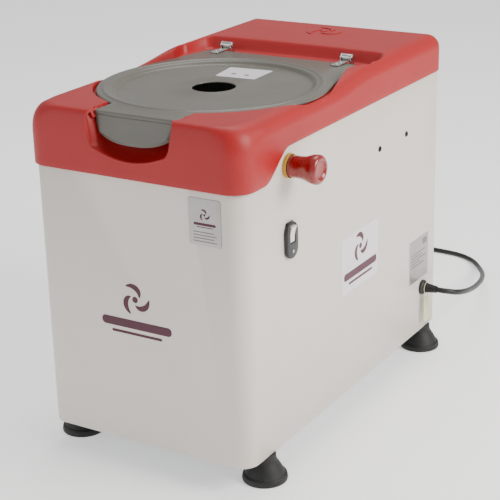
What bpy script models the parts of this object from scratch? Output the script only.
"""Bench-top rapid dough mixer, modelled as separate pieces that fit together.

Metres, +Z up, floor at z = 0, front towards -Y. The pieces are placed in the
machine's own frame, whose X = 0 is the cabinet's middle plane, and hang from
empties that stand on the joints' axes. The emergency stop sticks out of the
right side, so the machine's empty is moved in X until the origin is the middle
of everything's footprint.
"""
import math

import bmesh
import bpy
from mathutils import Vector

# ---------------------------------------------------------------- clearances
FIT = 0.0003              # between faces that touch on the real machine
SLIP = 0.0010             # between loosely fitted sheet parts

# ---------------------------------------------------------------- cabinet
CABINET_WIDTH = 0.340
CABINET_DEPTH = 0.600
CABINET_HEIGHT = 0.445    # height of the side walls, part of it under the hood
FOOT_HEIGHT = 0.040
SHEET = 0.0015
CORNER_RADIUS = 0.027     # bend of the two front corners
REAR_RADIUS = 0.012       # bend of the two rear corners
REAR_FLANGE = 0.018
SCREW_SETBACKS = (0.391, 0.483)   # cabinet screws, behind the front
SCREW_LEVEL = 0.352               # above the cabinet's bottom edge
HALF = CABINET_WIDTH / 2
FRONT = -CABINET_DEPTH / 2
REAR = CABINET_DEPTH / 2
BOTTOM = FOOT_HEIGHT
SIDE_TOP = BOTTOM + CABINET_HEIGHT

# ---------------------------------------------------------------- hood
HOOD_OVERHANG = 0.0045    # how far the hood stands proud of the cabinet
HOOD_WALL = 0.003
HOOD_RISE = 0.042         # from the side walls' top edge to the rear deck
HOOD_FILLET = 0.020
HOOD_FRONT_RADIUS = CORNER_RADIUS + HOOD_OVERHANG
HOOD_REAR_RADIUS = REAR_RADIUS + HOOD_OVERHANG
DECK_TOP = SIDE_TOP + HOOD_RISE
FRONT_DROP = 0.0105       # front strip below the rear deck
LEDGE_DROP = 0.0185       # lid ledge below the rear deck
LEDGE = DECK_TOP - LEDGE_DROP
APRON_BOTTOM = DECK_TOP - 0.096
SKIRT_BOTTOM = DECK_TOP - 0.058
SKIRT_STEP = (0.052, 0.115)   # the step's start and end, behind the front
DECK_STEP = 0.014         # length of the slope from the ledge to the deck

# ---------------------------------------------------------------- lid
BOWL_SETBACK = 0.207      # bowl axis behind the cabinet's front
BOWL_Y = FRONT + BOWL_SETBACK
LID_RADIUS = 0.166
LID_SHEET = 0.0018
LID_HOLE = 0.031
DISH_FLOOR = 0.139
DISH_RIM = 0.146
DISH_DEPTH = 0.0065
LID_EDGE_DROP = 0.0045
LID_TOP = LEDGE + 0.007
LID_TAPER = math.radians(12)  # where the straight sides leave the circle
LID_REAR = BOWL_Y + 0.191
LID_GAP = 0.0025          # lid edge to the recess in the hood
RECESS_DRAFT = 0.0025
TAB_HALF = 0.067
TAB_FRONT = FRONT + 0.013
FLAP_LENGTH = 0.040
FLAP_SHEET = 0.0018
SCOOP_MARGIN = 0.0045     # scoop wider than the flap, each side
SCOOP_DEPTH = 0.038       # behind the front face
SCOOP_LIP = APRON_BOTTOM + 0.016
SCOOP_WALL = 0.004
SCOOP_HALF = TAB_HALF + SCOOP_MARGIN
SCOOP_BLOCK_HALF = SCOOP_HALF + 0.012  # the hood is thick up to here
NOTCH_HALF = SCOOP_HALF + 0.020        # cabinet's cut-out behind the scoop
NOTCH_CLEARANCE = 0.002
COLUMN_APART = math.radians(0.7)       # least turn between a column and a corner's
MARK_APART = math.radians(0.15)
CORNER_COLUMNS = 6

# ---------------------------------------------------------------- hinges
HINGE_X = 0.105
HINGE_Y = LID_REAR + 0.014
HINGE_Z = LID_TOP + 0.0045
PIN_RADIUS = 0.0025
KNUCKLE_RADIUS = 0.0052
KNUCKLE_HALF = 0.007
EAR_SHEET = 0.002
LEAF_LENGTH = 0.026
LEAF_SHEET = 0.002

# ---------------------------------------------------------------- bowl
BOWL_RADIUS = 0.138       # inside
BOWL_WALL = 0.002
BOWL_DEPTH = 0.185
BOWL_FLOOR_WALL = 0.004
BOWL_FLANGE = 0.150
BOWL_FLANGE_WALL = 0.003
BOWL_ROUND = 0.022        # inside bottom edge
GASKET_HEIGHT = 0.0085
RIM_TOP = LEDGE - 0.0105
BOWL_FLOOR = RIM_TOP - BOWL_DEPTH
PLATE_WALL = 0.003        # carrier plate under the bowl's flange
PLATE_TOP = RIM_TOP - BOWL_FLANGE_WALL - FIT
HOOD_OPENING = 0.1435

# ---------------------------------------------------------------- frame
FRAME_DEPTH_X = 0.024
FRAME_BAR = 0.020
FRAME_WALL = 0.0025
FRAME_FRONT = FRONT + 0.072
FRAME_REAR = REAR - 0.075
BASE_WALL = 0.003
BASE_TOP = BOTTOM + BASE_WALL
DRIVE_PLATE_WALL = 0.006
DRIVE_PLATE_TOP = BOTTOM + 0.151

# ---------------------------------------------------------------- drive
SHAFT_RADIUS = 0.0125
BEARING_OUTER = 0.026
BEARING_WIDTH = 0.015
HOUSING_RADIUS = 0.038
HOUSING_FLANGE = 0.056
HOUSING_FLANGE_WALL = 0.010
PULLEY_Z = BOTTOM + 0.095     # middle plane of the belt
PULLEY_WIDTH = 0.030
DRIVEN_RADIUS = 0.070
DRIVING_RADIUS = 0.032
BELT_WIDTH = 0.022
BELT_THICK = 0.005
MOTOR_SETBACK = 0.130         # motor axis in front of the cabinet's rear
MOTOR_Y = REAR - MOTOR_SETBACK
MOTOR_SHAFT = 0.0095
MOTOR_RADIUS = 0.072
MOTOR_LENGTH = 0.175
MOTOR_PLATE_WALL = 0.008
MOTOR_BASE = DRIVE_PLATE_TOP + FIT + MOTOR_PLATE_WALL
SHIELD_WALL = 0.012
FIN_COUNT = 16
FIN_HEIGHT = 0.006
BEATER_CLEARANCE = 0.020      # blade tip to the bowl's wall
BEATER_REACH = BOWL_RADIUS - BEATER_CLEARANCE

# ---------------------------------------------------------------- controls
CONTROL_Y = FRONT + 0.118
ESTOP_Z = BOTTOM + 0.401
ESTOP_RING = 0.0168
ESTOP_RING_WALL = 0.0055
ESTOP_NECK = 0.0150
ESTOP_HEAD = 0.020
ESTOP_REACH = 0.050           # tip of the head beyond the side wall
ESTOP_BARREL = 0.0110
PLUNGER_RADIUS = 0.004
SWITCH_Z = BOTTOM + 0.297
SWITCH_HEIGHT = 0.052
SWITCH_WIDTH = 0.030
SWITCH_PLATE = 0.006
ROCKER_LENGTH = 0.024
ROCKER_WIDTH = 0.013
ROCKER_RISE = 0.010           # rocker axis above the switch plate's middle
ROCKER_TILT = math.radians(10)

# ---------------------------------------------------------------- feet, cord
FOOT_RADIUS = 0.0325
FOOT_NECK = 0.014
FOOT_INSET = 0.012            # foot axis inside the side wall
FOOT_FRONT = FRONT + 0.060
FOOT_REAR = REAR - 0.028
STUD_RADIUS = 0.005
GLAND_Y = REAR - 0.049
GLAND_Z = BOTTOM + 0.075
GLAND_RADIUS = 0.012
GLAND_THREAD = 0.008
CORD_DIAMETER = 0.009
CORD_POINT_SPACING = 2.2      # diameters between the tube's points
COIL_RADIUS = 0.050           # at the middle of the turns
COIL_LAYERS = 2
COIL_TURNS_ACROSS = 2
COIL_EASE = 0.003             # rounded edges of the coil's outer shape
PLUG_RADIUS = 0.0165
PLUG_LENGTH = 0.042
PLUG_NECK = CORD_DIAMETER / 2 + 0.001
PIN_LENGTH = 0.019
PIN_SPACING = 0.0095
PIN_OFFSET = 0.003            # middle pin out of line with the other two
PLUG_PIN_RADIUS = 0.0024

# The emergency stop reaches further than the feet do on the other side.
MACHINE_X = -((HALF + ESTOP_REACH) - (HALF - FOOT_INSET + FOOT_RADIUS)) / 2

# Where the cord leaves the relief, and its way down to the floor and the coil.
CORD_START = (HALF + 0.028, GLAND_Y, GLAND_Z)
CORD_LIE = CORD_DIAMETER / 2 + 0.0002
CORD_ROUTE = [
    (0.2140, 0.2520, 0.1150), (0.2260, 0.2710, 0.1090), (0.2235, 0.3170, 0.0950),
    (0.2090, 0.3860, 0.0750), (0.1850, 0.4720, 0.0520), (0.1560, 0.5520, 0.0300),
    (0.1250, 0.6160, 0.0130), (0.0940, 0.6630, 0.0058), (0.0680, 0.6830, CORD_LIE),
    (0.0440, 0.6910, CORD_LIE), (0.0180, 0.6935, CORD_LIE), (-0.0060, 0.6943, CORD_LIE),
    (-0.0294, 0.6945, CORD_LIE),
]
COIL_OUTER_TURN = COIL_RADIUS + CORD_DIAMETER * (COIL_TURNS_ACROSS - 1) / 2
COIL_CENTRE = (-0.0610, CORD_ROUTE[-1][1] - COIL_OUTER_TURN)


# ================================================================ helpers
def clear_scene():
    for obj in list(bpy.data.objects):
        bpy.data.objects.remove(obj, do_unlink=True)


def finish(name, colour, roughness, metallic=0.0):
    """A Principled material with one colour (linear RGB)."""
    mat = bpy.data.materials.new(name)
    mat.use_nodes = True
    shader = mat.node_tree.nodes["Principled BSDF"]
    shader.inputs["Base Color"].default_value = (*colour, 1.0)
    shader.inputs["Roughness"].default_value = roughness
    shader.inputs["Metallic"].default_value = metallic
    mat.diffuse_color = (*colour, 1.0)
    return mat


def empty(name, place, parent=None):
    """An empty that pieces hang from; place is in the machine's frame."""
    home = bpy.data.objects.new(name, None)
    bpy.context.scene.collection.objects.link(home)
    home["place"] = place
    if parent is None:
        home.location = place
    else:
        home.parent = parent
        home.location = Vector(place) - Vector(parent["place"])
    return home


def solid(name, verts, faces, mat, home, sharp=35):
    """A closed mesh, given in the machine's frame, hung from an empty."""
    origin = Vector(home["place"]) if home.parent else Vector()
    mesh = bpy.data.meshes.new(name)
    mesh.from_pydata([Vector(v) - origin for v in verts], [], faces)
    bm = bmesh.new()
    bm.from_mesh(mesh)
    bmesh.ops.recalc_face_normals(bm, faces=bm.faces)
    bm.to_mesh(mesh)
    bm.free()
    mesh.shade_smooth()
    mesh.set_sharp_from_angle(angle=math.radians(sharp))
    mesh.materials.append(mat)
    obj = bpy.data.objects.new(name, mesh)
    bpy.context.scene.collection.objects.link(obj)
    obj.parent = home
    return obj


def helper(obj):
    """Mark a cutter or a joined shape, which isn't a piece itself."""
    obj.hide_render = True
    obj.display_type = "WIRE"
    return obj


def combine(target, other, operation):
    modifier = target.modifiers.new(other.name, "BOOLEAN")
    modifier.operation = operation
    modifier.solver = "EXACT"
    modifier.object = helper(other)


def cut(target, *cutters):
    for cutter in cutters:
        combine(target, cutter, "DIFFERENCE")


def join(target, *others):
    for other in others:
        combine(target, other, "UNION")


def along(axis, centre, radial_a, radial_b, height):
    """A point given by two radial offsets and a height along an axis."""
    x, y, z = centre
    if axis == "Z":
        return (x + radial_a, y + radial_b, z + height)
    if axis == "X":
        return (x + height, y + radial_a, z + radial_b)
    return (x + radial_b, y + height, z + radial_a)


def turned(name, profile, mat, home, centre, axis="Z", segments=22, sharp=35):
    """Turn (radius, height) points round an axis.

    A profile that starts and ends at radius 0 is a solid bar, and any other
    profile is a closed loop, which makes a ring.
    """
    verts = []
    rings = []
    for radius, height in profile:
        if radius == 0:
            rings.append([len(verts)])
            verts.append(along(axis, centre, 0, 0, height))
            continue
        first = len(verts)
        for step in range(segments):
            turn = 2 * math.pi * step / segments
            verts.append(along(axis, centre, radius * math.cos(turn),
                               radius * math.sin(turn), height))
        rings.append(list(range(first, first + segments)))
    if profile[0][0] != 0:
        rings.append(rings[0])
    faces = []
    for lower, upper in zip(rings, rings[1:]):
        for step in range(segments):
            after = (step + 1) % segments
            if len(lower) == 1 and len(upper) == 1:
                continue
            if len(lower) == 1:
                faces.append((lower[0], upper[step], upper[after]))
            elif len(upper) == 1:
                faces.append((lower[step], lower[after], upper[0]))
            else:
                faces.append((lower[step], lower[after], upper[after], upper[step]))
    return solid(name, verts, faces, mat, home, sharp)


def loft(name, rings, mat, home, closed=True, sharp=35):
    """Join rings of equal length; the last ring meets the first when closed."""
    count = len(rings[0])
    verts = [point for ring in rings for point in ring]
    faces = []
    spans = len(rings) if closed else len(rings) - 1
    for index in range(spans):
        low = index * count
        high = ((index + 1) % len(rings)) * count
        for step in range(count):
            after = (step + 1) % count
            faces.append((low + step, low + after, high + after, high + step))
    if not closed:
        faces.append(tuple(range(count)))
        faces.append(tuple(range(len(verts) - count, len(verts))))
    return solid(name, verts, faces, mat, home, sharp)


def prism(name, outline, low, high, mat, home, axis="Z", sharp=35):
    """Extrude an outline; its points lie in the plane across the axis."""
    if axis == "Z":
        rings = [[(a, b, level) for a, b in outline] for level in (low, high)]
    elif axis == "Y":
        rings = [[(a, level, b) for a, b in outline] for level in (low, high)]
    else:
        rings = [[(level, a, b) for a, b in outline] for level in (low, high)]
    return loft(name, rings, mat, home, closed=False, sharp=sharp)


def box(name, low, high, mat, home):
    outline = [(low[0], low[1]), (high[0], low[1]), (high[0], high[1]), (low[0], high[1])]
    return prism(name, outline, low[2], high[2], mat, home)


def rounded(low_a, high_a, low_b, high_b, radius, steps=5):
    """A rectangle with round corners, anticlockwise."""
    points = []
    corners = [(high_a - radius, low_b + radius, -90), (high_a - radius, high_b - radius, 0),
               (low_a + radius, high_b - radius, 90), (low_a + radius, low_b + radius, 180)]
    for centre_a, centre_b, start in corners:
        for step in range(steps + 1):
            turn = math.radians(start + 90 * step / steps)
            points.append((centre_a + radius * math.cos(turn),
                           centre_b + radius * math.sin(turn)))
    return points


def smooth_step(value, low, high):
    share = min(1.0, max(0.0, (value - low) / (high - low)))
    return share * share * (3 - 2 * share)


def convex_distance(x, y, corners, radius):
    """Distance outside a convex, anticlockwise outline with round corners."""
    outside = False
    inner = -1e9
    nearest = 1e9
    for (ax, ay), (bx, by) in zip(corners, corners[1:] + corners[:1]):
        ex, ey = bx - ax, by - ay
        length = math.hypot(ex, ey)
        side = ((x - ax) * ey - (y - ay) * ex) / length
        inner = max(inner, side)
        outside = outside or side > 0
        share = min(1.0, max(0.0, ((x - ax) * ex + (y - ay) * ey) / length ** 2))
        nearest = min(nearest, math.hypot(x - ax - share * ex, y - ay - share * ey))
    return (nearest if outside else inner) - radius


def reach(distance, turn, grow):
    """How far from the bowl's axis, in one direction, an outline lies."""
    low, high = 0.02, 1.0
    for _ in range(40):
        middle = (low + high) / 2
        x = middle * math.cos(turn)
        y = BOWL_Y + middle * math.sin(turn)
        if distance(x, y) > grow:
            high = middle
        else:
            low = middle
    return low


# ================================================================ outlines
def lid_corners():
    """Corners of the lid's rear plate and of its front tab."""
    round_off = 0.008
    side_x = (LID_RADIUS - round_off) * math.cos(LID_TAPER)
    side_y = BOWL_Y + (LID_RADIUS - round_off) * math.sin(LID_TAPER)
    rear_y = LID_REAR - round_off
    rear_x = side_x - (rear_y - side_y) * math.tan(LID_TAPER)
    plate = [(-side_x, side_y), (side_x, side_y), (rear_x, rear_y), (-rear_x, rear_y)]
    tab_x = TAB_HALF - round_off
    tab_y = TAB_FRONT + round_off
    tab = [(-tab_x, tab_y), (tab_x, tab_y), (tab_x, BOWL_Y), (-tab_x, BOWL_Y)]
    return plate, tab, round_off


def lid_distance(x, y):
    plate, tab, round_off = lid_corners()
    circle = math.hypot(x, y - BOWL_Y) - LID_RADIUS
    return min(circle, convex_distance(x, y, plate, round_off),
               convex_distance(x, y, tab, round_off))


def hood_distance(x, y):
    """Negative inside the hood's plan, measured from its outer face."""
    corner = HOOD_FRONT_RADIUS if y < 0 else HOOD_REAR_RADIUS
    across = abs(x) - (HALF + HOOD_OVERHANG - corner)
    back = abs(y) - (REAR + HOOD_OVERHANG - corner)
    return math.hypot(max(across, 0), max(back, 0)) + min(max(across, back), 0) - corner


def directions():
    """Turns round the bowl's axis that catch every corner of both outlines."""
    turns = [math.radians(step * 5) for step in range(72)]
    marks = []
    for corner, y_end in ((HOOD_FRONT_RADIUS, FRONT - HOOD_OVERHANG),
                          (HOOD_REAR_RADIUS, REAR + HOOD_OVERHANG)):
        inward = math.copysign(corner, -y_end)
        for step in range(CORNER_COLUMNS):
            bend = math.pi / 2 * step / (CORNER_COLUMNS - 1)
            marks.append((HALF + HOOD_OVERHANG - corner * (1 - math.cos(bend)),
                          y_end + inward * (1 - math.sin(bend))))
    marks += [(TAB_HALF, TAB_FRONT), (TAB_HALF, TAB_FRONT + 0.008),
              (TAB_HALF, BOWL_Y - math.sqrt(LID_RADIUS ** 2 - TAB_HALF ** 2)),
              (lid_corners()[0][2][0], LID_REAR)]
    corners = sorted(math.atan2(y - BOWL_Y, side * x) % (2 * math.pi)
                     for x, y in marks for side in (-1, 1))
    kept = []
    for turn in corners:
        if not kept or turn - kept[-1] > MARK_APART:
            kept.append(turn)
    between = [turn for turn in turns if min(abs(turn - mark) for mark in kept) > COLUMN_APART]
    return sorted(kept + between)


def ring_points(turns, radius_at, height_at):
    points = []
    for turn in turns:
        radius = radius_at(turn)
        x = radius * math.cos(turn)
        y = BOWL_Y + radius * math.sin(turn)
        points.append((x, y, height_at(x, y)))
    return points


# ================================================================ casing
def make_cabinet(mats, home):
    """Front and side walls, folded from one sheet with flanges at the rear."""
    def fold(inset):
        radius = CORNER_RADIUS - inset
        path = []
        for step in range(7):
            turn = math.radians(-90 + 90 * step / 6)
            path.append((HALF - CORNER_RADIUS + radius * math.cos(turn),
                         FRONT + CORNER_RADIUS + radius * math.sin(turn)))
        radius = REAR_RADIUS - inset
        for step in range(4):
            turn = math.radians(90 * step / 3)
            path.append((HALF - REAR_RADIUS + radius * math.cos(turn),
                         REAR - REAR_RADIUS + radius * math.sin(turn)))
        path.append((HALF - REAR_RADIUS - REAR_FLANGE, REAR - inset))
        return path

    outer = fold(0.0)
    inner = fold(SHEET)
    outline = ([(-x, y) for x, y in outer[::-1]] + outer + inner[::-1]
               + [(-x, y) for x, y in inner])
    shell = prism("cabinet_shell", outline, BOTTOM, SIDE_TOP, mats["white"], home)
    notch_half = max(NOTCH_HALF, first_thin_column() + NOTCH_CLEARANCE)
    notch = box("cabinet_notch_cutter", (-notch_half, FRONT - 0.01, APRON_BOTTOM + 0.008),
                (notch_half, FRONT + 0.01, SIDE_TOP + 0.01), mats["white"], home)
    stop_hole = turned("estop_hole_cutter", bar(ESTOP_BARREL + FIT, -0.01, 0.01), mats["white"],
                       home, (HALF, CONTROL_Y, ESTOP_Z), "X", 24)
    gland_hole = turned("gland_hole_cutter", bar(GLAND_THREAD + FIT, -0.01, 0.01),
                        mats["white"], home, (HALF, GLAND_Y, GLAND_Z), "X", 24)
    switch_hole = box("switch_hole_cutter",
                      (HALF - 0.01, CONTROL_Y - 0.0105, SWITCH_Z + ROCKER_RISE - 0.0155),
                      (HALF + 0.01, CONTROL_Y + 0.0105, SWITCH_Z + ROCKER_RISE + 0.0155),
                      mats["white"], home)
    cut(shell, notch, stop_hole, gland_hole, switch_hole)
    for side in (-1, 1):
        for index, setback in enumerate(SCREW_SETBACKS):
            y = FRONT + setback
            hole = turned(f"screw_hole_cutter_{side}_{index}", bar(0.0025, -0.01, 0.01),
                          mats["white"], home, (side * HALF, y, BOTTOM + SCREW_LEVEL), "X", 12)
            cut(shell, hole)


def bar(radius, low, high):
    """Profile of a plain round bar."""
    return [(0, low), (radius, low), (radius, high), (0, high)]


def tube(outer, inner, low, high):
    """Profile of a plain tube."""
    return [(outer, low), (outer, high), (inner, high), (inner, low)]


def make_rear_panel(mats, home):
    """Screwed in behind the flanges, with rows of vent slots."""
    face = REAR - SHEET - FIT
    half = HALF - REAR_RADIUS - SLIP
    panel = box("rear_panel", (-half, face - SHEET, BOTTOM + BASE_WALL + SLIP),
                (half, face, SIDE_TOP - 0.004), mats["white"], home)
    slots = 6
    for row in range(slots):
        level = BOTTOM + 0.190 + row * 0.020
        for side in (-1, 1):
            slot = prism(f"vent_cutter_{row}_{side}",
                         rounded(side * 0.065 - 0.045, side * 0.065 + 0.045,
                                 level - 0.004, level + 0.004, 0.0039, 2),
                         face - 0.01, face + 0.01, mats["white"], home, "Y")
            cut(panel, slot)


def make_base(mats, home):
    """Bottom plate, whose front corners follow the cabinet's bends."""
    inset = SHEET + SLIP
    half = HALF - inset
    radius = CORNER_RADIUS - inset
    outline = []
    for step in range(5):
        turn = math.radians(-90 + 90 * step / 4)
        outline.append((half - radius + radius * math.cos(turn),
                        FRONT + inset + radius + radius * math.sin(turn)))
    outline += [(half, REAR - REAR_RADIUS), (HALF - REAR_RADIUS, REAR - inset)]
    outline = outline + [(-x, y) for x, y in outline[::-1]]
    plate = prism("base_plate", outline, BOTTOM, BASE_TOP, mats["steel"], home)
    for x_side in (-1, 1):
        for y in (FOOT_FRONT, FOOT_REAR):
            cut(plate, turned(f"stud_cutter_{x_side}_{y:.3f}", bar(STUD_RADIUS + FIT, -0.01, 0.02),
                              mats["steel"], home, (x_side * (HALF - FOOT_INSET), y, BOTTOM),
                              "Z", 16))


def make_frames(mats, home):
    """Two welded side frames of open channel, each with a middle rail."""
    low = BASE_TOP + FIT
    high = PLATE_TOP - PLATE_WALL - FIT
    outer = HALF - SHEET - SLIP
    inner = outer - FRAME_DEPTH_X
    rail = DRIVE_PLATE_TOP - DRIVE_PLATE_WALL - 0.020
    for side, label in ((-1, "left"), (1, "right")):
        x_low, x_high = sorted((side * inner, side * outer))
        frame = box(f"side_frame_{label}", (x_low, FRAME_FRONT, low), (x_high, FRAME_REAR, high),
                    mats["steel"], home)
        windows = ((low + FRAME_BAR, rail), (rail + FRAME_BAR, high - FRAME_BAR))
        for index, (z_low, z_high) in enumerate(windows):
            cut(frame, box(f"window_cutter_{label}_{index}",
                           (x_low - 0.01, FRAME_FRONT + FRAME_BAR, z_low),
                           (x_high + 0.01, FRAME_REAR - FRAME_BAR, z_high), mats["steel"], home))
        pocket_low = min(side * (inner - 0.01), side * (outer - FRAME_WALL))
        pocket_high = max(side * (inner - 0.01), side * (outer - FRAME_WALL))
        inset = FRAME_BAR - FRAME_WALL
        bars = [((FRAME_FRONT + FRAME_WALL, low + FRAME_WALL),
                 (FRAME_FRONT + inset, high - FRAME_WALL)),
                ((FRAME_REAR - inset, low + FRAME_WALL),
                 (FRAME_REAR - FRAME_WALL, high - FRAME_WALL))]
        for index, (first, last) in enumerate(bars):
            cut(frame, box(f"channel_cutter_{label}_{index}", (pocket_low, first[0], first[1]),
                           (pocket_high, last[0], last[1]), mats["steel"], home))


def make_carrier_plate(mats, home):
    """Plate on the side frames that the bowl hangs in by its flange."""
    half = HALF - SHEET - SLIP
    outline = rounded(-half, half, BOWL_Y - 0.155, BOWL_Y + 0.178, 0.012, 2)
    plate = prism("bowl_carrier_plate", outline, PLATE_TOP - PLATE_WALL, PLATE_TOP,
                  mats["steel"], home)
    cut(plate, turned("bowl_hole_cutter", bar(BOWL_RADIUS + BOWL_WALL + SLIP, -0.02, 0.02),
                      mats["steel"], home, (0, BOWL_Y, PLATE_TOP), "Z", 48))


def make_drive_plate(mats, home):
    """Plate welded between the side frames that carries spindle and motor."""
    half = HALF - SHEET - SLIP - FRAME_DEPTH_X - FIT
    plate = box("drive_plate", (-half, FRAME_FRONT, DRIVE_PLATE_TOP - DRIVE_PLATE_WALL),
                (half, REAR - 0.030, DRIVE_PLATE_TOP), mats["steel"], home)
    spindle_hole = turned("housing_hole_cutter", bar(HOUSING_RADIUS + FIT, -0.02, 0.02),
                          mats["steel"], home, (0, BOWL_Y, DRIVE_PLATE_TOP), "Z", 36)
    slot = prism("motor_slot_cutter", rounded(-0.045, 0.045, MOTOR_Y - 0.060, MOTOR_Y + 0.060,
                                              0.044, 8),
                 DRIVE_PLATE_TOP - 0.02, DRIVE_PLATE_TOP + 0.02, mats["steel"], home)
    cut(plate, spindle_hole, slot)


# ================================================================ hood
def hood_level(y):
    """Level of the hood's top away from its edges, front to rear."""
    return DECK_TOP - FRONT_DROP * (1 - smooth_step(y, BOWL_Y + 0.033, BOWL_Y + 0.153))


def hood_top(x, y):
    """Top surface with the rounded outer edge."""
    depth = max(0.0, -hood_distance(x, y))
    if depth >= HOOD_FILLET:
        return hood_level(y)
    short = HOOD_FILLET - depth
    return hood_level(y) - HOOD_FILLET + math.sqrt(max(0.0, HOOD_FILLET ** 2 - short ** 2))


def skirt_level(x, y):
    """Lower edge: deep over the front, stepping up along the sides."""
    share = smooth_step(y, FRONT + SKIRT_STEP[0], FRONT + SKIRT_STEP[1])
    return APRON_BOTTOM + (SKIRT_BOTTOM - APRON_BOTTOM) * share


def first_thin_column():
    """Distance from the middle to the hood's first column beside the scoop."""
    across = [abs(reach(hood_distance, turn, 0.0) * math.cos(turn)) for turn in directions()
              if math.sin(turn) < 0]
    return min(x for x in across if x >= SCOOP_BLOCK_HALF)


def make_hood(mats, home):
    """One moulded shell: skirt, rounded top, lid recess and bowl opening."""
    turns = directions()
    scoop_back = FRONT - HOOD_OVERHANG + SCOOP_DEPTH + SCOOP_WALL
    block_low = APRON_BOTTOM + 0.0095

    def ledge(x, y):
        return min(LEDGE, hood_top(x, y) - 0.0005)

    def slope(turn):
        """Extra run of the recess wall at the rear, where it is a slope."""
        return DECK_STEP * smooth_step(math.sin(turn), 0.62, 0.80)

    def floor_reach(turn):
        return reach(lid_distance, turn, LID_GAP) + 0.027 * smooth_step(math.sin(turn), 0.62, 0.80)

    def wall_reach(turn):
        return floor_reach(turn) + RECESS_DRAFT + slope(turn)

    def outer(turn, inset):
        return reach(hood_distance, turn, -inset)

    def in_scoop(turn):
        """True where the hood is thick behind the finger scoop."""
        radius = outer(turn, 0.0)
        return math.sin(turn) < 0 and abs(radius * math.cos(turn)) < SCOOP_BLOCK_HALF

    rings = [
        ring_points(turns, lambda t: HOOD_OPENING, lambda x, y: ledge(x, y) - HOOD_WALL),
        ring_points(turns, lambda t: HOOD_OPENING, ledge),
        ring_points(turns, floor_reach, ledge),
        ring_points(turns, wall_reach, hood_top),
    ]
    for index, inset in enumerate((0.020, 0.012, 0.0065, 0.0028, 0.0007)):
        def fillet_reach(turn, index=index, inset=inset):
            return max(outer(turn, inset), wall_reach(turn) + 0.0002 * (index + 1))
        rings.append(ring_points(turns, fillet_reach, hood_top))
    edge = ring_points(turns, lambda t: outer(t, 0.0), lambda x, y: hood_level(y) - HOOD_FILLET)
    bottom = ring_points(turns, lambda t: outer(t, 0.0), skirt_level)
    lip = ring_points(turns, lambda t: outer(t, HOOD_WALL), skirt_level)
    rings += [edge, bottom, lip]

    inside = [[], [], [], [], []]
    for turn in turns:
        cos, sin = math.cos(turn), math.sin(turn)
        skirt = outer(turn, HOOD_WALL)
        shoulder = outer(turn, HOOD_WALL + 0.009)
        recess = wall_reach(turn) + HOOD_WALL * 1.2
        clear = recess < shoulder - 0.0005

        def at(radius, level, cos=cos, sin=sin):
            return (radius * cos, BOWL_Y + radius * sin, level)

        def under(radius, drop, cos=cos, sin=sin):
            return hood_top(radius * cos, BOWL_Y + radius * sin) - drop

        x_edge, y_edge = skirt * cos, BOWL_Y + skirt * sin
        shelf = ledge(HOOD_OPENING * cos, BOWL_Y + HOOD_OPENING * sin) - HOOD_WALL
        if in_scoop(turn):
            back = (BOWL_Y - scoop_back) / -sin
            inside[0].append(at(skirt, block_low))
            inside[1].append(at(back, block_low))
            inside[2].append(at(back, shelf - 0.004))
            inside[3].append(at(back - 0.002, shelf))
            inside[4].append(at(back - 0.004, shelf))
            continue
        inside[0].append(at(skirt, skirt_level(x_edge, y_edge) + 0.002))
        inside[1].append(at(skirt, hood_level(y_edge) - HOOD_FILLET))
        if clear:
            inside[2].append(at(shoulder, under(shoulder, HOOD_WALL)))
            inside[3].append(at(recess, under(recess, HOOD_WALL)))
            inside[4].append(at(recess - slope(turn) - RECESS_DRAFT, shelf))
        else:
            near = min(recess, shoulder)
            inside[2].append(at(near, shelf - 0.001))
            inside[3].append(at(near - 0.002, shelf))
            inside[4].append(at(near - 0.004, shelf))
    rings += inside
    hood = loft("top_hood", rings, mats["red"], home, closed=True, sharp=28)

    sections = []
    count = 14
    for step in range(count + 1):
        x = SCOOP_HALF * (2 * step / count - 1)
        lip_z = SCOOP_LIP + 0.033 * abs(x / SCOOP_HALF) ** 3
        face = FRONT - HOOD_OVERHANG
        top = DECK_TOP + 0.03
        profile = [(face - 0.02, lip_z), (face + 0.006, lip_z), (face + 0.022, lip_z + 0.006),
                   (face + 0.033, lip_z + 0.018), (face + SCOOP_DEPTH, lip_z + 0.034),
                   (face + SCOOP_DEPTH, top), (face - 0.02, top)]
        sections.append([(x, y, z) for y, z in profile])
    cut(hood, loft("scoop_cutter", sections, mats["red"], home, closed=False))


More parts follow.
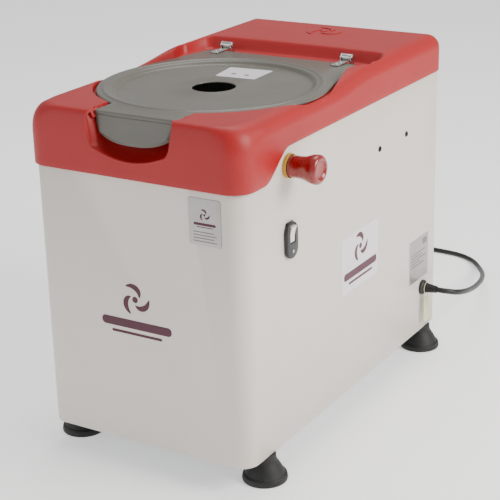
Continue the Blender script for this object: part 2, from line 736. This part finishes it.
# ================================================================ lid
def make_lid(mats, home):
    """Pressed sheet lid: dished round a filling hole, tab folded down in front."""
    turns = directions()

    def rim(inset):
        return lambda turn: max(reach(lid_distance, turn, -inset), DISH_RIM + 0.002)

    def level(value):
        return lambda x, y: value

    floor = LID_TOP - DISH_DEPTH
    rings = [
        ring_points(turns, lambda t: LID_HOLE, level(floor)),
        ring_points(turns, lambda t: DISH_FLOOR, level(floor)),
        ring_points(turns, lambda t: DISH_RIM, level(LID_TOP)),
        ring_points(turns, rim(0.009), level(LID_TOP)),
        ring_points(turns, rim(0.003), level(LID_TOP - 0.0012)),
        ring_points(turns, rim(0.0), level(LID_TOP - LID_EDGE_DROP)),
        ring_points(turns, rim(0.0004), level(LID_TOP - LID_EDGE_DROP - 0.0017)),
        ring_points(turns, rim(0.0040), level(LID_TOP - 0.0012 - LID_SHEET)),
        ring_points(turns, rim(0.0095), level(LID_TOP - LID_SHEET)),
        ring_points(turns, lambda t: DISH_RIM + 0.0005, level(LID_TOP - LID_SHEET)),
        ring_points(turns, lambda t: DISH_FLOOR + 0.0005, level(floor - LID_SHEET)),
        ring_points(turns, lambda t: LID_HOLE, level(floor - LID_SHEET)),
    ]
    lid = loft("lid", rings, mats["lid_grey"], home, closed=True, sharp=28)
    top = LID_TOP - 0.0037
    outline = [(-TAB_HALF + 0.0015, top), (-TAB_HALF + 0.0015, top - 0.006)]
    count = 12
    for step in range(count + 1):
        share = 2 * step / count - 1
        x = share * (TAB_HALF - 0.006)
        outline.append((x, top - FLAP_LENGTH + 0.016 * abs(share) ** 3))
    outline += [(TAB_HALF - 0.0015, top - 0.006), (TAB_HALF - 0.0015, top)]
    flap = prism("lid_flap", outline, TAB_FRONT + 0.0003, TAB_FRONT + 0.0003 + FLAP_SHEET,
                 mats["lid_grey"], home, "Y")
    join(lid, flap)


def make_hinges(mats, home, lid_home):
    """Two knuckle hinges: leaf on the lid, bracket on the hood, loose pin."""
    floor = LEDGE + FIT
    for side, label in ((-1, "left"), (1, "right")):
        x = side * HINGE_X
        pin_half = KNUCKLE_HALF + FIT + EAR_SHEET + 0.001
        turned(f"hinge_pin_{label}", bar(PIN_RADIUS, -pin_half, pin_half), mats["steel"], home,
               (x, HINGE_Y, HINGE_Z), "X", 16)
        knuckle = turned(f"hinge_leaf_{label}", tube(KNUCKLE_RADIUS, PIN_RADIUS + FIT,
                                                     -KNUCKLE_HALF, KNUCKLE_HALF),
                         mats["bright"], lid_home, (x, HINGE_Y, HINGE_Z), "X", 20)
        low = LID_TOP + FIT
        join(knuckle, box(f"leaf_blade_{label}", (x - KNUCKLE_HALF, LID_REAR - LEAF_LENGTH, low),
                          (x + KNUCKLE_HALF, HINGE_Y - PIN_RADIUS - 0.0012, low + LEAF_SHEET),
                          mats["bright"], lid_home))
        ear_low = KNUCKLE_HALF + FIT
        base = box(f"hinge_bracket_{label}",
                   (x - ear_low - EAR_SHEET, HINGE_Y - 0.006, floor),
                   (x + ear_low + EAR_SHEET, HINGE_Y + 0.007, floor + 0.0012),
                   mats["bright"], home)
        for ear_side in (-1, 1):
            inner = x + ear_side * ear_low
            outer = inner + ear_side * EAR_SHEET
            profile = [(HINGE_Y - 0.0055, floor + 0.0006), (HINGE_Y + 0.0060, floor + 0.0006)]
            for step in range(9):
                turn = math.radians(180 * step / 8)
                profile.append((HINGE_Y + 0.0055 * math.cos(turn),
                                HINGE_Z + 0.0055 * math.sin(turn)))
            ear = prism(f"ear_{label}_{ear_side}", profile, min(inner, outer), max(inner, outer),
                        mats["bright"], home, "X")
            join(base, ear)
        cut(base, turned(f"pin_cutter_{label}", bar(PIN_RADIUS + FIT, -0.02, 0.02),
                         mats["bright"], home, (x, HINGE_Y, HINGE_Z), "X", 16))


# ================================================================ bowl, beater
def make_bowl(mats, home):
    """Flanged bowl with a rounded bottom edge and a hole for the spindle."""
    centre = (0, BOWL_Y, 0)
    hole = SHAFT_RADIUS + 0.004
    inner = [(hole, BOWL_FLOOR), (BOWL_RADIUS - BOWL_ROUND, BOWL_FLOOR)]
    outer = [(BOWL_RADIUS + BOWL_WALL - BOWL_ROUND, BOWL_FLOOR - BOWL_FLOOR_WALL),
             (hole, BOWL_FLOOR - BOWL_FLOOR_WALL)]
    curve_in = []
    curve_out = []
    for step in range(1, 5):
        turn = math.radians(90 * step / 4)
        curve_in.append((BOWL_RADIUS - BOWL_ROUND * (1 - math.sin(turn)),
                         BOWL_FLOOR + BOWL_ROUND * (1 - math.cos(turn))))
        curve_out.append((BOWL_RADIUS + BOWL_WALL - BOWL_ROUND * (1 - math.sin(turn)),
                          BOWL_FLOOR - BOWL_FLOOR_WALL + BOWL_ROUND * (1 - math.cos(turn))))
    profile = inner + curve_in + [
        (BOWL_RADIUS, RIM_TOP), (BOWL_FLANGE, RIM_TOP),
        (BOWL_FLANGE, RIM_TOP - BOWL_FLANGE_WALL),
        (BOWL_RADIUS + BOWL_WALL, RIM_TOP - BOWL_FLANGE_WALL)]
    profile += curve_out[::-1] + outer
    turned("bowl", profile, mats["stainless"], home, centre, "Z", 32)
    turned("bowl_gasket", tube(HOOD_OPENING - FIT * 2, BOWL_RADIUS + 0.0005, RIM_TOP + FIT,
                               RIM_TOP + FIT + GASKET_HEIGHT), mats["rubber"], home, centre, "Z", 32)


def housing_levels():
    """Top and bottom of the bearing housing."""
    top = BOWL_FLOOR - BOWL_FLOOR_WALL - FIT
    low = DRIVE_PLATE_TOP - DRIVE_PLATE_WALL - 0.010
    return top, low


def make_spindle(mats, home, spin):
    """Bearing housing, bearings, seal, spindle, pulley and beater."""
    centre = (0, BOWL_Y, 0)
    top, low = housing_levels()
    bore = BEARING_OUTER + FIT
    middle = bore - 0.004
    seat = DRIVE_PLATE_TOP + FIT
    upper = top - 0.020
    lower = low + 0.004 + BEARING_WIDTH
    turned("bearing_housing", [
        (HOUSING_RADIUS, low), (HOUSING_RADIUS, seat), (HOUSING_FLANGE, seat),
        (HOUSING_FLANGE, seat + HOUSING_FLANGE_WALL), (HOUSING_RADIUS - 0.003, seat + 0.012),
        (HOUSING_RADIUS - 0.003, top - HOUSING_FLANGE_WALL),
        (HOUSING_FLANGE, top - HOUSING_FLANGE_WALL), (HOUSING_FLANGE, top), (bore, top),
        (bore, upper - BEARING_WIDTH - FIT), (middle, upper - BEARING_WIDTH - FIT),
        (middle, lower + FIT), (bore, lower + FIT), (bore, low)], mats["cast"], home, centre)
    ring_in = SHAFT_RADIUS + FIT
    turned("spindle_bearing_upper", tube(BEARING_OUTER, ring_in, upper - BEARING_WIDTH, upper),
           mats["bright"], home, centre)
    turned("spindle_bearing_lower", tube(BEARING_OUTER, ring_in, lower - BEARING_WIDTH, lower),
           mats["bright"], home, centre)
    turned("shaft_seal", tube(BEARING_OUTER, ring_in, upper + FIT, upper + 0.010),
           mats["rubber"], home, centre)
    hub_top = BOWL_FLOOR + 0.062
    turned("spindle", [
        (0, PULLEY_Z - 0.024), (SHAFT_RADIUS - 0.001, PULLEY_Z - 0.024),
        (SHAFT_RADIUS, PULLEY_Z - 0.023), (SHAFT_RADIUS, lower + FIT * 2),
        (SHAFT_RADIUS + 0.004, lower + FIT * 2),
        (SHAFT_RADIUS + 0.004, upper - BEARING_WIDTH - FIT * 2),
        (SHAFT_RADIUS, upper - BEARING_WIDTH - FIT * 2), (SHAFT_RADIUS, hub_top - 0.004),
        (SHAFT_RADIUS - 0.004, hub_top - 0.004), (SHAFT_RADIUS - 0.004, hub_top + 0.012),
        (0, hub_top + 0.012)], mats["bright"], spin, centre, "Z", 24)
    pulley("driven_pulley", DRIVEN_RADIUS, SHAFT_RADIUS, mats, spin, BOWL_Y)
    make_beater(mats, spin, hub_top)


def pulley(name, radius, shaft, mats, spin, y):
    """Grooved pulley with a hub and, when it is big enough, a thinner web."""
    low, high = PULLEY_Z - PULLEY_WIDTH / 2, PULLEY_Z + PULLEY_WIDTH / 2
    groove = BELT_WIDTH / 2 + SLIP
    bed = radius - BELT_THICK
    hole = shaft + FIT
    profile = [(hole, low), (shaft + 0.010, low)]
    if radius > 0.05:
        web = 0.004
        profile += [(shaft + 0.010, PULLEY_Z - web), (bed - 0.008, PULLEY_Z - web),
                    (bed - 0.008, low)]
    profile += [(radius, low), (radius, low + 0.0025), (bed, PULLEY_Z - groove),
                (bed, PULLEY_Z + groove), (radius, high - 0.0025), (radius, high)]
    if radius > 0.05:
        profile += [(bed - 0.008, high), (bed - 0.008, PULLEY_Z + web),
                    (shaft + 0.010, PULLEY_Z + web)]
    profile += [(shaft + 0.010, high), (hole, high)] if radius > 0.05 else [(hole, high)]
    turned(name, profile, mats["cast"], spin, (0, y, 0), "Z", 24)


def make_beater(mats, spin, hub_top):
    """Cast hub with two bent arms that sweep round the bowl, and its cap nut."""
    centre = (0, BOWL_Y, 0)
    low = BOWL_FLOOR + 0.004
    hub = turned("beater", tube(0.024, SHAFT_RADIUS + FIT, low, hub_top - 0.006),
                 mats["stainless"], spin, centre, "Z", 28)
    for index in range(2):
        sweep = math.pi * index
        sections = []
        count = 9
        for step in range(count):
            share = step / (count - 1)
            turn = sweep + 1.25 * share ** 1.3
            radius = 0.016 + (BEATER_REACH - 0.016) * share
            lift = 0.014 + 0.020 * math.sin(math.pi * share) + 0.030 * share ** 2
            if index == 1:
                lift = 0.012 + 0.010 * share
            thick = 0.0085 - 0.0025 * share
            tall = 0.013 - 0.004 * share
            section = []
            for corner in range(8):
                lean = 2 * math.pi * (corner + 0.5) / 8
                out = radius * math.cos(turn) - thick * math.cos(lean) * math.sin(turn)
                side = radius * math.sin(turn) + thick * math.cos(lean) * math.cos(turn)
                section.append((out, BOWL_Y + side, low + lift + tall * math.sin(lean) * 0.8))
            sections.append(section)
        join(hub, loft(f"beater_arm_{index}", sections, mats["stainless"], spin, closed=False))
    turned("beater_cap", [
        (SHAFT_RADIUS - 0.004 + FIT, hub_top - 0.0035), (0.021, hub_top - 0.0035),
        (0.021, hub_top + 0.006), (0.015, hub_top + 0.014), (0.006, hub_top + 0.0175),
        (0, hub_top + 0.018), (0, hub_top + 0.012 + FIT), (SHAFT_RADIUS - 0.004 + FIT,
                                                          hub_top + 0.012 + FIT)],
           mats["stainless"], spin, centre, "Z", 24)


def make_belt(mats, home):
    """Flat-backed ribbed belt round both pulleys."""
    gap = MOTOR_Y - BOWL_Y
    lean = math.asin((DRIVEN_RADIUS - DRIVING_RADIUS) / gap)
    inner = BELT_THICK - 0.0009

    def loop(extra):
        points = []
        for centre_y, radius, start, end in (
                (BOWL_Y, DRIVEN_RADIUS, math.pi - lean, 2 * math.pi + lean),
                (MOTOR_Y, DRIVING_RADIUS, lean, math.pi - lean)):
            steps = 16
            for step in range(steps + 1):
                turn = start + (end - start) * step / steps
                points.append(((radius - inner + extra) * math.cos(turn),
                               centre_y + (radius - inner + extra) * math.sin(turn)))
        return points

    low, high = PULLEY_Z - BELT_WIDTH / 2, PULLEY_Z + BELT_WIDTH / 2
    inside, outside = loop(0.0), loop(BELT_THICK - 0.001)
    rings = [[(x, y, low) for x, y in outside], [(x, y, high) for x, y in outside],
             [(x, y, high) for x, y in inside], [(x, y, low) for x, y in inside]]
    loft("drive_belt", rings, mats["rubber"], home, closed=True)


# ================================================================ motor
def make_motor(mats, home, spin):
    """Vertical flange motor with its shaft down, on a plate that slides to tension."""
    centre = (0, MOTOR_Y, 0)
    base = MOTOR_BASE + FIT
    half = 0.085
    plate = box("motor_plate", (-half, MOTOR_Y - half, DRIVE_PLATE_TOP + FIT),
                (half, MOTOR_Y + half, MOTOR_BASE), mats["steel"], home)
    cut(plate, turned("motor_bore_cutter", bar(0.036, -0.05, 0.05), mats["steel"], home,
                      (0, MOTOR_Y, MOTOR_BASE), "Z", 32))
    shield_top = base + SHIELD_WALL
    frame_low = shield_top + FIT
    frame_top = frame_low + MOTOR_LENGTH
    bore = 0.020
    turned("motor_drive_shield", [
        (0.080, base), (0.080, base + 0.009), (MOTOR_RADIUS, shield_top), (bore, shield_top),
        (bore, base - 0.008), (0.035, base - 0.008), (0.035, base)], mats["motor"], home, centre)
    frame = turned("motor_frame", tube(MOTOR_RADIUS, 0.066, frame_low, frame_top), mats["motor"],
                   home, centre, "Z", 32)
    for index in range(FIN_COUNT):
        turn = 2 * math.pi * (index + 0.5) / FIN_COUNT
        if abs(math.cos(turn)) > 0.9 and math.cos(turn) > 0:
            continue
        c, s = math.cos(turn), math.sin(turn)
        outline = []
        for radial, side in ((0.0690, -0.0012), (MOTOR_RADIUS + FIN_HEIGHT, -0.0009),
                             (MOTOR_RADIUS + FIN_HEIGHT, 0.0009), (0.0690, 0.0012)):
            outline.append((radial * c - side * s, MOTOR_Y + radial * s + side * c))
        join(frame, prism(f"motor_fin_{index}", outline, frame_low + 0.006, frame_top - 0.012,
                          mats["motor"], home))
    turned("motor_stator", tube(0.0657, 0.0410, frame_low + 0.020, frame_top - 0.020),
           mats["copper"], home, centre, "Z", 24)
    end_low = frame_top + FIT
    turned("motor_end_shield", [(0.0715, end_low), (0.0715, end_low + 0.006),
                                (0.024, end_low + 0.012), (bore - 0.004, end_low + 0.012),
                                (bore - 0.004, end_low)], mats["motor"], home, centre)
    fan_low = end_low + 0.016
    turned("motor_rotor", [
        (0, PULLEY_Z - 0.020), (MOTOR_SHAFT, PULLEY_Z - 0.020),
        (MOTOR_SHAFT, frame_low + 0.022), (0.0402, frame_low + 0.022),
        (0.0402, frame_top - 0.022), (MOTOR_SHAFT, frame_top - 0.022),
        (MOTOR_SHAFT, fan_low + 0.020), (0, fan_low + 0.020)], mats["bright"], spin, centre)
    pulley("driving_pulley", DRIVING_RADIUS, MOTOR_SHAFT, mats, spin, MOTOR_Y)
    fan = turned("motor_fan", tube(0.020, MOTOR_SHAFT + FIT, fan_low, fan_low + 0.018),
                 mats["black"], spin, centre)
    join(fan, turned("fan_disc", tube(0.058, 0.017, fan_low + 0.001, fan_low + 0.004),
                     mats["black"], spin, centre))
    blades = 6
    for index in range(blades):
        turn = 2 * math.pi * index / blades
        c, s = math.cos(turn), math.sin(turn)
        outline = []
        for radial, side in ((0.0185, -0.001), (0.056, -0.001), (0.056, 0.001), (0.0185, 0.001)):
            outline.append((radial * c - side * s, MOTOR_Y + radial * s + side * c))
        join(fan, prism(f"fan_blade_{index}", outline, fan_low + 0.002, fan_low + 0.017,
                        mats["black"], spin))
    cowl_top = fan_low + 0.032
    turned("motor_fan_cowl", [
        (0.0755, end_low - 0.008), (0.0755, cowl_top - 0.006), (0.069, cowl_top),
        (0.022, cowl_top), (0.022, cowl_top - 0.0015), (0.0682, cowl_top - 0.0015),
        (0.0738, cowl_top - 0.0066), (0.0738, end_low - 0.008)], mats["black"], home, centre,
           "Z", 24)
    low = frame_low + 0.060
    lid_x = 0.122
    box("motor_terminal_box", (MOTOR_RADIUS + 0.001, MOTOR_Y - 0.034, low),
        (lid_x, MOTOR_Y + 0.034, low + 0.080), mats["black"], home)


def make_starter(mats, home):
    """Contactor box beside the motor."""
    x = -(HALF - SHEET - SLIP - FRAME_DEPTH_X - 0.004)
    box("starter_box", (x, BOWL_Y + 0.158, DRIVE_PLATE_TOP + FIT),
        (x + 0.052, MOTOR_Y - 0.010, DRIVE_PLATE_TOP + 0.095), mats["light_grey"], home)


# ================================================================ controls
def make_estop(mats, home, push, twist):
    """Emergency stop: yellow ring, barrel, contact block, plunger, head."""
    centre = (HALF, CONTROL_Y, ESTOP_Z)
    turned("estop_ring", [(ESTOP_RING, FIT), (ESTOP_RING, ESTOP_RING_WALL - 0.001),
                          (ESTOP_RING - 0.0008, ESTOP_RING_WALL),
                          (ESTOP_NECK + FIT, ESTOP_RING_WALL), (ESTOP_NECK + FIT, FIT)],
           mats["yellow"], home, centre, "X", 24)
    turned("estop_barrel", tube(ESTOP_BARREL, PLUNGER_RADIUS + 0.001, -0.024, -SHEET + 0.0025),
           mats["light_grey"], home, centre, "X", 28)
    box("estop_contact_block", (HALF - 0.050, CONTROL_Y - 0.015, ESTOP_Z - 0.018),
        (HALF - 0.0243, CONTROL_Y + 0.015, ESTOP_Z + 0.018), mats["black"], home)
    head_low = ESTOP_RING_WALL + 0.0006
    turned("estop_plunger", bar(PLUNGER_RADIUS, -0.0185, head_low + 0.010), mats["black"],
           push, centre, "X", 16)
    flare = ESTOP_REACH - 0.017
    turned("estop_head", [
        (0, head_low + 0.0105), (0.011, head_low + 0.0105), (0.011, head_low),
        (ESTOP_NECK, head_low), (ESTOP_NECK - 0.0006, flare - 0.010),
        (ESTOP_NECK + 0.0005, flare - 0.003), (ESTOP_HEAD - 0.0012, flare + 0.001),
        (ESTOP_HEAD, flare + 0.004), (ESTOP_HEAD - 0.0006, ESTOP_REACH - 0.005),
        (ESTOP_HEAD - 0.0035, ESTOP_REACH - 0.0014), (ESTOP_HEAD - 0.008, ESTOP_REACH),
        (0, ESTOP_REACH)], mats["red"], twist, centre, "X", 24)


def make_switch(mats, home, rock):
    """Start switch: stadium plate, rocker on a cross pin, body behind."""
    plate = prism("switch_plate", rounded(CONTROL_Y - SWITCH_WIDTH / 2, CONTROL_Y + SWITCH_WIDTH / 2,
                                          SWITCH_Z - SWITCH_HEIGHT / 2,
                                          SWITCH_Z + SWITCH_HEIGHT / 2,
                                          SWITCH_WIDTH / 2 - 0.0002, 7),
                  HALF + FIT, HALF + SWITCH_PLATE, mats["black"], home, "X")
    axis_z = SWITCH_Z + ROCKER_RISE
    cut(plate, box("rocker_cutter", (HALF - 0.01, CONTROL_Y - ROCKER_WIDTH / 2 - SLIP / 2,
                                     axis_z - ROCKER_LENGTH / 2 - SLIP),
                   (HALF + 0.02, CONTROL_Y + ROCKER_WIDTH / 2 + SLIP / 2,
                    axis_z + ROCKER_LENGTH / 2 + SLIP), mats["black"], home))
    body = box("switch_body", (HALF - 0.030, CONTROL_Y - 0.010, axis_z - 0.015),
               (HALF - 0.0002, CONTROL_Y + 0.010, axis_z + 0.015), mats["black"], home)
    cut(body, box("switch_well_cutter", (HALF - 0.009, CONTROL_Y - ROCKER_WIDTH / 2 - SLIP / 2,
                                         axis_z - ROCKER_LENGTH / 2 - SLIP),
                  (HALF + 0.01, CONTROL_Y + ROCKER_WIDTH / 2 + SLIP / 2,
                   axis_z + ROCKER_LENGTH / 2 + SLIP), mats["black"], home))
    pivot = HALF + 0.001
    outline = []
    for along_z, out in ((-0.0115, 0.0062), (-0.006, 0.0052), (0.0, 0.0048), (0.006, 0.0052),
                         (0.0115, 0.0062), (0.0112, -0.001), (0.004, -0.006), (-0.004, -0.006),
                         (-0.0112, -0.001)):
        outline.append((pivot + out * math.cos(ROCKER_TILT) + along_z * math.sin(ROCKER_TILT),
                        axis_z - out * math.sin(ROCKER_TILT) + along_z * math.cos(ROCKER_TILT)))
    prism("switch_rocker", outline, CONTROL_Y - ROCKER_WIDTH / 2, CONTROL_Y + ROCKER_WIDTH / 2,
          mats["ivory"], rock, "Y")


# ================================================================ small parts
def make_feet(mats, home):
    """Rubber feet with a moulded-in stud that goes through the base plate."""
    for y, end in ((FOOT_FRONT, "front"), (FOOT_REAR, "rear")):
        for side, label in ((-1, "left"), (1, "right")):
            top = BOTTOM - FIT
            turned(f"foot_{end}_{label}", [
                (0, 0), (FOOT_RADIUS - 0.004, 0), (FOOT_RADIUS, 0.004), (FOOT_RADIUS, 0.015),
                (FOOT_RADIUS - 0.004, 0.021), (FOOT_NECK + 0.006, 0.028), (FOOT_NECK, 0.034),
                (FOOT_NECK, top), (STUD_RADIUS, top), (STUD_RADIUS, BASE_TOP + 0.014),
                (0, BASE_TOP + 0.014)], mats["rubber"], home,
                   (side * (HALF - FOOT_INSET), y, 0), "Z", 20)


def make_screws(mats, home):
    """Screws that hold the cabinet's sides to the frame behind."""
    for side, label in ((-1, "left"), (1, "right")):
        for setback, end in zip(SCREW_SETBACKS, ("front", "rear")):
            screw = [(0, -0.006), (0.002, -0.006), (0.002, FIT), (0.0045, FIT), (0.004, 0.002),
                     (0.002, 0.0028), (0, 0.0029)]
            turned(f"side_screw_{label}_{end}", [(r, side * h) for r, h in screw],
                   mats["steel"], home, (side * HALF, FRONT + setback, BOTTOM + SCREW_LEVEL), "X", 10)


def make_plates(mats, home):
    """Metal badge riveted to the front."""
    box("front_badge", (0.089, FRONT - 0.0011, BOTTOM + 0.317),
        (0.138, FRONT - FIT, BOTTOM + 0.381), mats["bright"], home)


def make_gland(mats, home):
    """Cable gland, its lock nut and the tapered relief on the cord."""
    centre = (HALF, GLAND_Y, GLAND_Z)
    passage = CORD_DIAMETER / 2 + FIT
    turned("cord_gland", [
        (GLAND_THREAD, -0.012), (GLAND_THREAD, FIT), (GLAND_RADIUS, FIT), (GLAND_RADIUS, 0.004),
        (GLAND_RADIUS - 0.0025, 0.0060), (passage, 0.0060), (passage, -0.012)],
           mats["black"], home, centre, "X", 24)
    turned("gland_nut", tube(0.0125, (GLAND_THREAD + FIT) / math.cos(math.pi / 6),
                             -SHEET - FIT - 0.005, -SHEET - FIT), mats["black"], home, centre,
           "X", 6)
    relief_low = 0.0063
    turned("strain_relief", [
        (passage + 0.0035, relief_low), (passage + 0.0030, 0.012), (passage + 0.0012, 0.0260),
        (passage, 0.0277), (passage, relief_low)], mats["rubber"], home, centre, "X", 20)


def smooth_route(points, spacing):
    """Even points along a centripetal curve through the route's points."""
    fine = []
    padded = [points[0]] + points + [points[-1]]
    for index in range(len(points) - 1):
        before, start, end, after = (Vector(p) for p in padded[index:index + 4])
        for step in range(12):
            share = step / 12
            fine.append(0.5 * (2 * start + (end - before) * share
                               + (2 * before - 5 * start + 4 * end - after) * share ** 2
                               + (3 * start - before - 3 * end + after) * share ** 3))
    fine.append(Vector(points[-1]))
    total = sum((b - a).length for a, b in zip(fine, fine[1:]))
    count = max(2, round(total / spacing))
    even = [fine[0]]
    walked, target, index = 0.0, total / count, 0
    while len(even) < count and index < len(fine) - 1:
        length = (fine[index + 1] - fine[index]).length
        if walked + length >= target * len(even):
            share = (target * len(even) - walked) / length
            even.append(fine[index].lerp(fine[index + 1], share))
        else:
            walked += length
            index += 1
    even.append(fine[-1])
    return even


def cord_tube(name, points, mats, home):
    curve = bpy.data.curves.new(name, "CURVE")
    curve.dimensions = "3D"
    curve.bevel_depth = CORD_DIAMETER / 2
    curve.bevel_resolution = 2
    curve.use_fill_caps = True
    spline = curve.splines.new("POLY")
    spline.points.add(len(points) - 1)
    for point, place in zip(spline.points, points):
        point.co = (*place, 1.0)
    curve.materials.append(mats["cord"])
    obj = bpy.data.objects.new(name, curve)
    bpy.context.scene.collection.objects.link(obj)
    obj.parent = home


def make_cord(mats, home):
    """Cord from the relief to the coil, the coil's outer shape, and the plug.

    The cord joins the coil at its rear and leaves it at its front, towards +X,
    where the plug's neck touches the coil.
    """
    start = (CORD_START[0] + FIT, CORD_START[1], CORD_START[2])
    points = smooth_route([start] + CORD_ROUTE, CORD_DIAMETER * CORD_POINT_SPACING)
    cord_tube("power_cord", points, mats, home)
    inner = COIL_RADIUS - CORD_DIAMETER * COIL_TURNS_ACROSS / 2
    outer = COIL_RADIUS + CORD_DIAMETER * COIL_TURNS_ACROSS / 2
    low, high = FIT, FIT + CORD_DIAMETER * COIL_LAYERS
    turned("power_cord_coil", [
        (inner, low + COIL_EASE), (inner + COIL_EASE, low), (outer - COIL_EASE, low),
        (outer, low + COIL_EASE), (outer, high - COIL_EASE), (outer - COIL_EASE, high),
        (inner + COIL_EASE, high), (inner, high - COIL_EASE)],
           mats["cord"], home, (*COIL_CENTRE, 0), "Z", 24)
    along_coil = math.sqrt((outer + FIT) ** 2 - (COIL_OUTER_TURN - PLUG_NECK) ** 2)
    back = (COIL_CENTRE[0] + along_coil, COIL_CENTRE[1] - COIL_OUTER_TURN, PLUG_RADIUS + FIT)
    plug = turned("power_plug", [
        (0, 0), (PLUG_NECK, 0), (PLUG_NECK + 0.001, 0.012), (PLUG_RADIUS - 0.004, 0.018),
        (PLUG_RADIUS, 0.026), (PLUG_RADIUS, PLUG_LENGTH), (0, PLUG_LENGTH)],
                  mats["cord"], home, back, "X", 20)
    for index in (-1, 0, 1):
        pin_axis = (back[0], back[1] + index * PIN_SPACING,
                    back[2] + (PIN_OFFSET if index == 0 else 0.0))
        join(plug, turned(f"plug_pin_{index}", bar(PLUG_PIN_RADIUS, PLUG_LENGTH - 0.003,
                                                   PLUG_LENGTH + PIN_LENGTH),
                          mats["bright"], home, pin_axis, "X", 12))


def main():
    clear_scene()
    mats = {
        "white": finish("powder_coat_white", (0.62, 0.57, 0.52), 0.45),
        "red": finish("moulded_red", (0.55, 0.06, 0.05), 0.42),
        "lid_grey": finish("painted_lid_grey", (0.24, 0.23, 0.21), 0.45),
        "steel": finish("zinc_steel", (0.42, 0.43, 0.45), 0.45, 1.0),
        "bright": finish("bright_steel", (0.62, 0.62, 0.62), 0.30, 1.0),
        "stainless": finish("stainless", (0.58, 0.58, 0.57), 0.28, 1.0),
        "cast": finish("cast_iron", (0.16, 0.16, 0.17), 0.60, 1.0),
        "copper": finish("stator_iron_and_copper", (0.30, 0.16, 0.08), 0.50, 0.8),
        "motor": finish("motor_paint", (0.09, 0.13, 0.17), 0.50),
        "rubber": finish("black_rubber", (0.020, 0.020, 0.018), 0.75),
        "black": finish("black_plastic", (0.022, 0.022, 0.024), 0.45),
        "light_grey": finish("grey_plastic", (0.50, 0.50, 0.48), 0.45),
        "yellow": finish("yellow_plastic", (0.52, 0.30, 0.05), 0.40),
        "ivory": finish("ivory_plastic", (0.75, 0.72, 0.62), 0.35),
        "cord": finish("black_pvc", (0.026, 0.026, 0.024), 0.55),
    }
    machine = empty("machine", (MACHINE_X, 0, 0))
    machine["place"] = (0, 0, 0)
    lid_home = empty("lid_pivot", (0, HINGE_Y, HINGE_Z), machine)
    spin = empty("spindle_axis", (0, BOWL_Y, BOWL_FLOOR), machine)
    motor_spin = empty("motor_axis", (0, MOTOR_Y, MOTOR_BASE), machine)
    push = empty("estop_axis", (HALF, CONTROL_Y, ESTOP_Z), machine)
    twist = empty("estop_twist", (HALF + ESTOP_REACH, CONTROL_Y, ESTOP_Z), push)
    rock = empty("rocker_pivot", (HALF + 0.001, CONTROL_Y, SWITCH_Z + ROCKER_RISE), machine)
    make_cabinet(mats, machine)
    make_rear_panel(mats, machine)
    make_base(mats, machine)
    make_frames(mats, machine)
    make_carrier_plate(mats, machine)
    make_drive_plate(mats, machine)
    make_hood(mats, machine)
    make_lid(mats, lid_home)
    make_hinges(mats, machine, lid_home)
    make_bowl(mats, machine)
    make_spindle(mats, machine, spin)
    make_belt(mats, machine)
    make_motor(mats, machine, motor_spin)
    make_starter(mats, machine)
    make_estop(mats, machine, push, twist)
    make_switch(mats, machine, rock)
    make_feet(mats, machine)
    make_screws(mats, machine)
    make_plates(mats, machine)
    make_gland(mats, machine)
    make_cord(mats, machine)


main()
